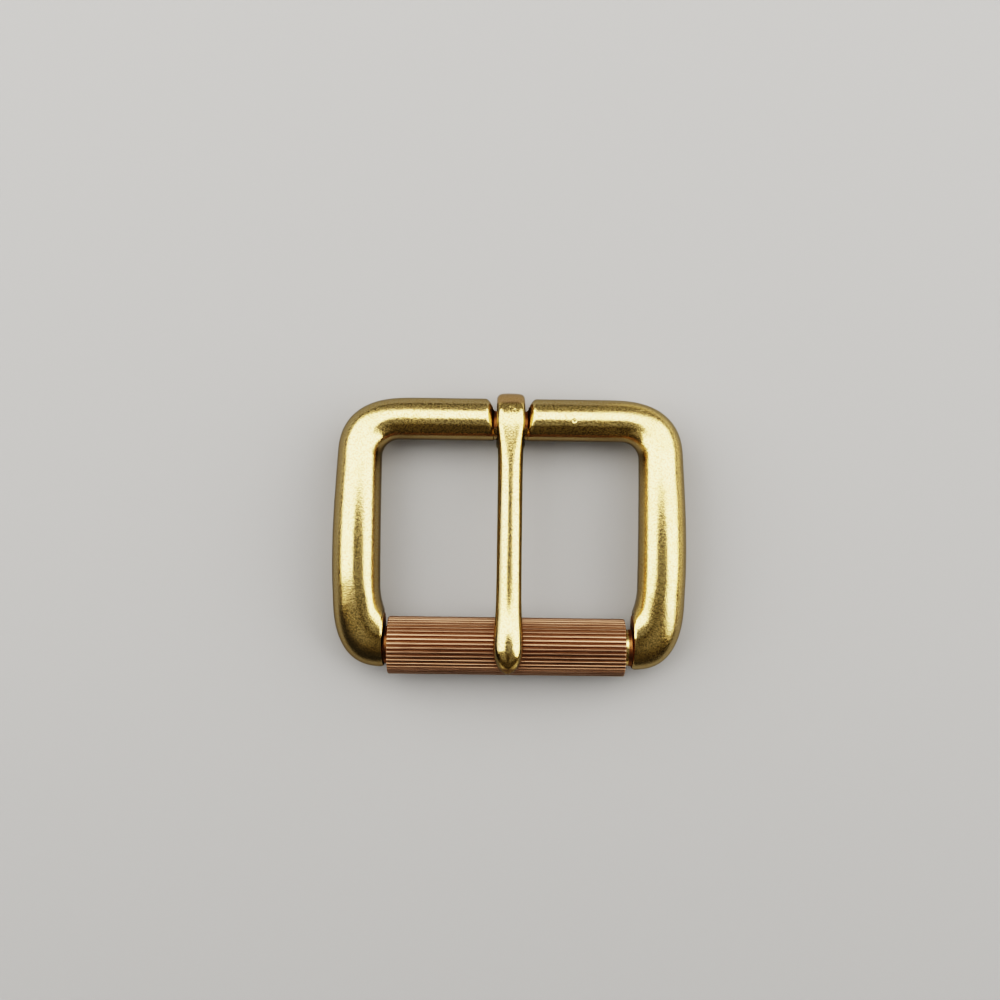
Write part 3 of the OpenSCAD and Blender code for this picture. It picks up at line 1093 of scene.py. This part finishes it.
@dataclass
class Roller:
    """The fluted tube on the roller bar.

    Attributes:
        outer_r: its radius over the ridges.
        bore_r: its bore's radius.
        bore_lead: the chamfer at the bore's ends.
        gap_left: the gap between it and the left foot.
        gap_right: the gap between it and the right foot.
        flutes: how many flutes it has.
        depth: their depth.
        ridge_share: share of the pitch that a ridge's flat top takes.
        floor_share: share of it that a flute's flat floor takes.
        end_round: radius of the rounding at its ends.
        end_stops: distances of that rounding's sections from the end, apart from its last one.
        end_land: how far the flat end face stops below the rounding.
        points_per_flute: points of each section, for one flute.
        steps: stretches between the two ends' roundings.
    """

    outer_r: float = 4.547
    bore_r: float = 3.0
    bore_lead: float = 0.15
    gap_left: float = 0.6
    gap_right: float = 1.15
    flutes: int = 40
    depth: float = 0.26
    ridge_share: float = 0.42
    floor_share: float = 0.16
    end_round: float = 0.22
    end_stops: tuple[float, ...] = (0.0, 0.02, 0.06, 0.12)
    end_land: float = 0.05
    points_per_flute: int = 12
    steps: int = 10

    @property
    def finish(self) -> FlutedCopper:
        """The copper-coloured metal, which follows the roller's own radius and flutes."""
        return FlutedCopper("fluted_copper", self.outer_r, self.depth)

    def profile(self, angle: float) -> float:
        """Finds the roller's radius: on a ridge's top, on its side or on a flute's floor.

        Args:
            angle: the direction from the roller's centre line.

        Returns:
            The radius there.
        """
        place = (angle * self.flutes / (2.0 * math.pi)) % 1.0
        off = min(place, 1.0 - place)
        side = (off - self.ridge_share / 2) / (0.5 - (self.ridge_share + self.floor_share) / 2)
        return self.outer_r - self.depth * smooth(side)

    def build(self) -> bpy.types.Object:
        """Builds the roller as a closed tube.

        Returns:
            The roller's object.
        """
        x_0, x_1 = -LAYOUT.foot_x + self.gap_left, LAYOUT.foot_x - self.gap_right
        mesh = RingMesh(self.flutes * self.points_per_flute)
        rim = self.outer_r - self.end_round

        def around(x: float, radius: Callable[[float], float]) -> None:
            """Adds a ring at x whose radius at an angle is given."""
            mesh.add(lambda a: Vector((x, -LAYOUT.reach + radius(a) * math.cos(a),
                                       radius(a) * math.sin(a))))

        def rounding(inward: float) -> Callable[[float], float]:
            """Rounds the fluted profile off near an end.

            Args:
                inward: the distance from the end.

            Returns:
                The radius at an angle.
            """
            left = self.end_round - inward
            top = rim + math.sqrt(self.end_round ** 2 - left ** 2)
            return lambda a: min(self.profile(a), top)

        inwards = (*self.end_stops, self.end_round)
        around(0.5 * (x_0 + x_1), lambda a: self.bore_r)
        first = mesh.last
        around(x_0 + self.bore_lead, lambda a: self.bore_r)
        around(x_0, lambda a: self.bore_r + self.bore_lead)
        around(x_0, lambda a: rim - self.end_land)
        for inward in inwards:
            around(x_0 + inward, rounding(inward))
        for i in range(1, self.steps):
            around(lerp(x_0 + self.end_round, x_1 - self.end_round, i / self.steps), self.profile)
        for inward in reversed(inwards):
            around(x_1 - inward, rounding(inward))
        around(x_1, lambda a: rim - self.end_land)
        around(x_1, lambda a: self.bore_r + self.bore_lead)
        around(x_1 - self.bore_lead, lambda a: self.bore_r)
        bmesh.ops.bridge_loops(mesh.bm, edges=mesh.last + first)
        return mesh.finish("copper_roller", levels=0)

    def dress(self, made: bpy.types.Object, skin: Skin) -> None:
        """Gives the roller its finish and puts it in the CAD node's place.

        Args:
            made: the roller's object.
            skin: the shared node groups.
        """
        made.data.materials.append(self.finish.material(skin))
        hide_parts("roller")
        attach(made, "roller_body")


@dataclass(frozen=True)
class ProngRow:
    """One section of the prong's shank: place as a share of the run, width, thickness, exponent."""

    place: float
    width: float
    thick: float
    crown_n: float


@dataclass
class Prong:
    """The prong: its open hook, its shank and the widened tip on the roller.

    Attributes:
        bore_r: radius of the hook's bore.
        hook_w: the hook's width.
        hook_out_t: its thickness on the outer side.
        hook_top_t: its thickness at the top.
        hook_back_t: its thickness behind the neck.
        hook_tail_t: its thickness at the tail.
        hook_n: exponent of its front.
        hook_back_n: exponent of its bore's side, which makes it nearly flat.
        tail_rise: degrees that the tail goes on past the level.
        tail_blunt: size of the tail's first sections, as shares of the full one.
        shank_w: the shank's width.
        root_t: its thickness where the hook ends.
        shank_t: its thickness beyond.
        tip_w: the tip's width.
        tip_t: its thickness.
        tip_n: exponent of its front.
        tip_past: how far it goes past the roller's centre line.
        tip_from: share of the run where it starts to round off.
        tip_turn: degrees of the rounding that are built before its end is closed.
        tip_thin: share of its thickness that it keeps at the very end.
        seat_r: radius of the hollow that lies on the roller.
        equator: share of the thickness below the widest line.
        sides: points of each section.
        hook_steps: sections of the hook.
        tip_steps: sections of the tip's rounding.
        finish: the brass.
    """

    bore_r: float = 2.4
    hook_w: float = 4.5
    hook_out_t: float = 2.748
    hook_top_t: float = 2.9
    hook_back_t: float = 2.148
    hook_tail_t: float = 1.3
    hook_n: float = 4.2
    hook_back_n: float = 6.0
    tail_rise: float = 27.0
    tail_blunt: Pair = (0.62, 0.9)
    shank_w: float = 3.9
    root_t: float = 2.9
    shank_t: float = 2.0
    tip_w: float = 4.75
    tip_t: float = 2.637
    tip_n: float = 1.75
    tip_past: float = 3.6
    tip_from: float = 0.98
    tip_turn: float = 87.0
    tip_thin: float = 0.32
    seat_r: float = 4.65
    equator: float = 0.4
    sides: int = 32
    hook_steps: int = 40
    tip_steps: int = 10
    # The prong's brass paints shade on its sides, on its hook's end and on its tip.
    finish: CastBrass = CastBrass(
        "cast_brass_prong", dark_to_bright=(0.66, 0.86), right_less_shade_x=(-0.8, 0.8), right_less_shade=0.12,
        painted_flank_shade=(0.2, 0.165, 0.1), under=(0.38, 0.32, 0.21), rough=0.11, peel_depth=0.02,
        ends=(ShadedEnd((20.2, 20.7), (0.48, 0.33, 0.19)), ShadedEnd((-20.2, -20.8), (0.17, 0.11, 0.06))),
        pocks=(Pock(0.15, 19.6, 0.5), Pock(0.5, 19.3, 0.3)))

    @property
    def run(self) -> float:
        """Distance from the pivot to the roller's centre line."""
        return LAYOUT.reach + LAYOUT.pivot_y

    def ring(self, under: Vector, front: Vector, width: float, crown_n: float, back_n: float
             ) -> Section:
        """Makes a section from its underside to its front.

        Args:
            under: the underside's middle, along Y from the pivot and up.
            front: the front's middle, given in the same way.
            width: the section's width.
            crown_n: exponent of its front.
            back_n: exponent of its underside.

        Returns:
            The section.
        """
        through = front - under
        thick = through.length
        up = through / thick
        mid = under + up * (thick * self.equator)
        return Section(Vector((0, mid.x + LAYOUT.pivot_y, mid.y)), Vector((1, 0, 0)),
                       Vector((0, up.x, up.y)), width / 2,
                       Crown(thick * (1 - self.equator), crown_n, crown_n),
                       thick * self.equator, back_n)

    def hook_sections(self) -> list[Section]:
        """Makes the hook.

        Returns:
            Its sections, from its tail, round the back and outer side, to its top.
        """
        start = -180.0 - self.tail_rise
        walls = [(start, self.hook_tail_t), (-90.0, self.hook_back_t), (0.0, self.hook_out_t),
                 (90.0, self.hook_top_t)]
        rows = []
        for i in range(self.hook_steps):
            degrees = lerp(start, 90.0, i / self.hook_steps)
            blunt = self.tail_blunt[i] if i < len(self.tail_blunt) else 1.0
            a = math.radians(degrees)
            out = Vector((math.cos(a), math.sin(a)))
            thick = keyed(walls, degrees)
            low = self.bore_r + thick * (1 - blunt) / 2
            rows.append(self.ring(out * low, out * (low + thick * blunt), self.hook_w * blunt,
                                  self.hook_n, self.hook_back_n))
        return rows

    def under_z(self, y: float) -> float:
        """Finds the underside's height, on the line that touches bore and seat, then on the seat.

        Args:
            y: the distance from the pivot towards the roller.

        Returns:
            The height above the pivot.
        """
        tilt = math.asin((self.seat_r - self.bore_r) / self.run)
        start = self.run - self.seat_r * math.sin(tilt)
        if y < start:
            return self.bore_r / math.cos(tilt) + y * math.tan(tilt)
        return math.sqrt(max(0.0, self.seat_r ** 2 - (y - self.run) ** 2))

    def rows(self) -> list[ProngRow]:
        """Lists the shank's widths and thicknesses.

        Returns:
            The rows, from the hook's top to where the tip rounds off.
        """
        slim, hook, wide = self.shank_w, self.hook_w, self.tip_w
        thin, root, tip = self.shank_t, self.root_t, self.tip_t
        return [
            ProngRow(0.00, hook, self.hook_top_t, 3.8),
            ProngRow(0.03, hook * 0.97, root * 0.99, 3.2),
            ProngRow(0.09, lerp(slim, hook, 0.25), root * 0.96, 2.4),
            ProngRow(0.16, slim, lerp(thin, root, 0.74), 1.85),
            ProngRow(0.26, slim, lerp(thin, root, 0.52), 1.7),
            ProngRow(0.40, slim, lerp(thin, root, 0.23), 1.65),
            ProngRow(0.60, slim, thin * 1.01, 1.65),
            ProngRow(0.78, slim * 1.01, thin, 1.65),
            ProngRow(0.84, lerp(slim, wide, 0.2), lerp(thin, tip, 0.26), 1.7),
            ProngRow(0.90, lerp(slim, wide, 0.6), lerp(thin, tip, 0.72), 1.75),
            ProngRow(0.94, lerp(slim, wide, 0.85), lerp(thin, tip, 0.96), 1.75),
            ProngRow(self.tip_from, wide, tip, self.tip_n),
        ]

    def shank_sections(self) -> list[Section]:
        """Makes the shank.

        Returns:
            Its sections, from the hook's top to the tip.
        """
        made = []
        for row in self.rows():
            y, z = row.place * self.run, self.under_z(row.place * self.run)
            made.append(self.ring(Vector((-y, z)), Vector((-y, z + row.thick)), row.width,
                                  row.crown_n, self.hook_n))
        return made

    def tip_sections(self) -> list[Section]:
        """Makes the tip's rounded end, which bends down round the roller.

        Returns:
            Its sections, out to its end.
        """
        y_0 = self.tip_from * self.run
        length = self.run + self.tip_past - y_0
        rows = []
        for i in range(1, self.tip_steps + 1):
            a = math.radians(self.tip_turn * i / self.tip_steps)
            y = y_0 + length * math.sin(a)
            z = self.under_z(y)
            thick = self.tip_t * lerp(self.tip_thin, 1.0, math.cos(a))
            lean = 0.5 * math.asin(max(0.0, (y - self.run) / self.seat_r))
            front = Vector((-y - thick * math.sin(lean), z + thick * math.cos(lean)))
            rows.append(self.ring(Vector((-y, z)), front, self.tip_w * math.cos(a), self.tip_n,
                                  self.hook_n))
        return rows

    def build(self) -> bpy.types.Object:
        """Builds the prong as one closed piece.

        Returns:
            The prong's object.
        """
        mesh = RingMesh(self.sides)
        tail, *others = self.hook_sections() + self.shank_sections() + self.tip_sections()
        mesh.add(tail.point)
        mesh.cap()
        for section in others:
            mesh.add(section.point)
        mesh.cap()
        return mesh.finish("brass_prong", levels=2)

    def dress(self, made: bpy.types.Object, skin: Skin) -> None:
        """Gives the prong its finish and puts it in the CAD node's place.

        Args:
            made: the prong's object.
            skin: the shared node groups.
        """
        made.data.materials.append(self.finish.material(skin))
        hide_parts("prong")
        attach(made, "prong_body")


@dataclass(frozen=True)
class Panel:
    """One soft light panel that hangs level.

    Its lengths are shares of the height that it hangs at.

    Attributes:
        name: the panel's name.
        corner: its left and near corner.
        size: its size along X and Y.
        radiance: how bright it is.
        colour: its colour.
    """

    name: str
    corner: Pair
    size: Pair
    radiance: float
    colour: Colour

    def build(self, height: float) -> None:
        """Hangs the panel.

        Args:
            height: its height in metres.
        """
        lamp = bpy.data.lights.new(self.name, "AREA")
        lamp.shape = "RECTANGLE"
        lamp.size, lamp.size_y = (length * height for length in self.size)
        lamp.energy = self.radiance * math.pi * lamp.size * lamp.size_y
        lamp.color = self.colour
        made = bpy.data.objects.new(self.name, lamp)
        middle = Vector(self.corner) + Vector(self.size) / 2
        made.location = (*(middle * height), height)
        made.visible_camera = False
        bpy.context.scene.collection.objects.link(made)


@dataclass(frozen=True)
class Screen:
    """A lit white screen that hangs level, cut out round the camera.

    Its corners are shares of the height that it hangs at, as seen from above the buckle.
    """

    name: str
    corners: tuple[Pair, ...]
    radiance: float
    colour: Colour = (1.0, 0.98, 0.94)

    def build(self, height: float) -> None:
        """Hangs the screen.

        Args:
            height: its height in metres.
        """
        bm = bmesh.new()
        bm.faces.new([bm.verts.new((x * height, y * height, height)) for x, y in self.corners])
        paint, shader = new_material(self.name)
        shader.inputs["Base Color"].default_value = (0.0, 0.0, 0.0, 1.0)
        shader.inputs["Specular IOR Level"].default_value = 0.0
        shader.inputs["Emission Color"].default_value = (*self.colour, 1.0)
        shader.inputs["Emission Strength"].default_value = self.radiance
        made = new_object(self.name, bm)
        made.data.materials.append(paint)
        made.visible_camera = False


@dataclass
class Studio:
    """The floor, the soft lights and the camera.

    Attributes:
        distance: from the camera to the plane that it aims at, in millimetres.
        aim_z: that plane's height in the model.
        focal_px: the lens's focal length, in the picture's pixels.
        frame_px: the picture's width and height.
        sensor: the camera's sensor width, in millimetres.
        roll: how far the picture is turned, in degrees.
        origin_px: where the model's origin shows in the picture.
        ceiling: the height that the screen hangs at, in metres.
        panel_rise: how much higher the panels hang, as a factor.
        screen: the screen.
        panels: the dimmer panels, whose light is cooler.
        floor_colour: the floor's colour.
        room_colour: the colour of the room around.
        room_light: how bright the room is.
        exposure: the picture's exposure, in stops.
    """

    distance: float = 198.4
    aim_z: float = 4.5
    focal_px: float = 1250.0
    frame_px: float = 1000.0
    sensor: float = 36.0
    roll: float = 0.75
    origin_px: Pair = (509.3, 534.1)
    ceiling: float = 0.4
    panel_rise: float = 1.05
    screen: Screen = Screen("screen", (
        (-0.16, 0.16), (-0.45, 0.04), (-0.45, -0.25), (-3.3, -1.0), (-4.2, 1.2), (-2.2, 2.8),
        (-1.1, 2.15), (-0.1, 1.0), (0.14, 0.98), (1.4, 2.3), (2.8, 2.9), (5.4, 1.0), (4.0, -2.6),
        (1.4, -0.9), (0.65, -0.15), (0.65, 0.04), (0.2, 0.16)), 2.1)
    panels: tuple[Panel, ...] = (
        Panel("panel_behind", (-14.0, -0.45), (28.0, 14.0), 0.085, (1.0, 1.14, 1.5)),
        Panel("panel_near_left", (-1.6, -1.45), (1.3, 1.0), 0.08, (1.0, 1.1, 1.4)),
        Panel("panel_near_right", (0.3, -1.65), (1.3, 1.2), 0.063, (1.0, 1.1, 1.4)),
    )
    floor_colour: Colour = (0.34, 0.336, 0.332)
    room_colour: Colour = (1.0, 0.95, 0.74)
    room_light: float = 0.055
    exposure: float = 0.5

    def floor(self) -> None:
        """Makes the plain pale floor."""
        bm = bmesh.new()
        bmesh.ops.create_grid(bm, x_segments=1, y_segments=1, size=3.0)
        made = new_object("floor", bm)
        paint, shader = new_material("pale_floor")
        shader.inputs["Base Color"].default_value = (*self.floor_colour, 1.0)
        shader.inputs["Roughness"].default_value = 0.9
        shader.inputs["Specular IOR Level"].default_value = 0.2
        made.data.materials.append(paint)

    def lights(self) -> None:
        """Hangs the screen and the dimmer panels behind it, and makes the dim surroundings."""
        self.screen.build(self.ceiling)
        for panel in self.panels:
            panel.build(self.panel_rise * self.ceiling)
        world = bpy.data.worlds.new("dim_room")
        bpy.context.scene.world = world
        world.use_nodes = True
        sky = next(n for n in world.node_tree.nodes if n.type == "BACKGROUND")
        sky.inputs["Color"].default_value = (*self.room_colour, 1.0)
        sky.inputs["Strength"].default_value = self.room_light

    def camera(self) -> None:
        """Makes the camera that looks straight down, as the photograph's did."""
        data = bpy.data.cameras.new("camera")
        data.sensor_width = self.sensor
        data.lens = self.focal_px / self.frame_px * self.sensor
        data.clip_start, data.clip_end = 0.01, 10.0
        made = bpy.data.objects.new("camera", data)
        half = self.frame_px / 2
        right = (self.origin_px[0] - half) * self.distance / self.focal_px
        up = (half - self.origin_px[1]) * self.distance / self.focal_px
        turn = Matrix.Rotation(math.radians(self.roll), 3, "Z")
        spot = turn @ Vector((-right, -up, 0.0))
        made.location = Vector((spot.x, spot.y, self.distance + self.aim_z)) * MM
        made.rotation_euler = (0.0, 0.0, math.radians(self.roll))
        bpy.context.scene.collection.objects.link(made)
        bpy.context.scene.camera = made

    def film(self) -> None:
        """Sets how the light is turned into the picture's colours."""
        view = bpy.context.scene.view_settings
        view.view_transform = "Filmic"
        view.look = "Very High Contrast"
        view.exposure = self.exposure

    def build(self) -> None:
        """Sets up the whole studio."""
        self.floor()
        self.lights()
        self.camera()
        self.film()


def write_sizes() -> None:
    """Updates the view layer."""
    bpy.context.view_layer.update()


def main() -> None:
    """Builds every piece in order and reports it."""
    logging.basicConfig(level=logging.INFO, format="%(message)s")
    Studio().build()
    skin = Skin()
    for part in (Frame(), Roller(), Prong()):
        made = part.build()
        part.dress(made, skin)
        log.info("%s: %d faces before rounding", made.name, len(made.data.polygons))
    write_sizes()


if __name__ == "__main__":
    main()
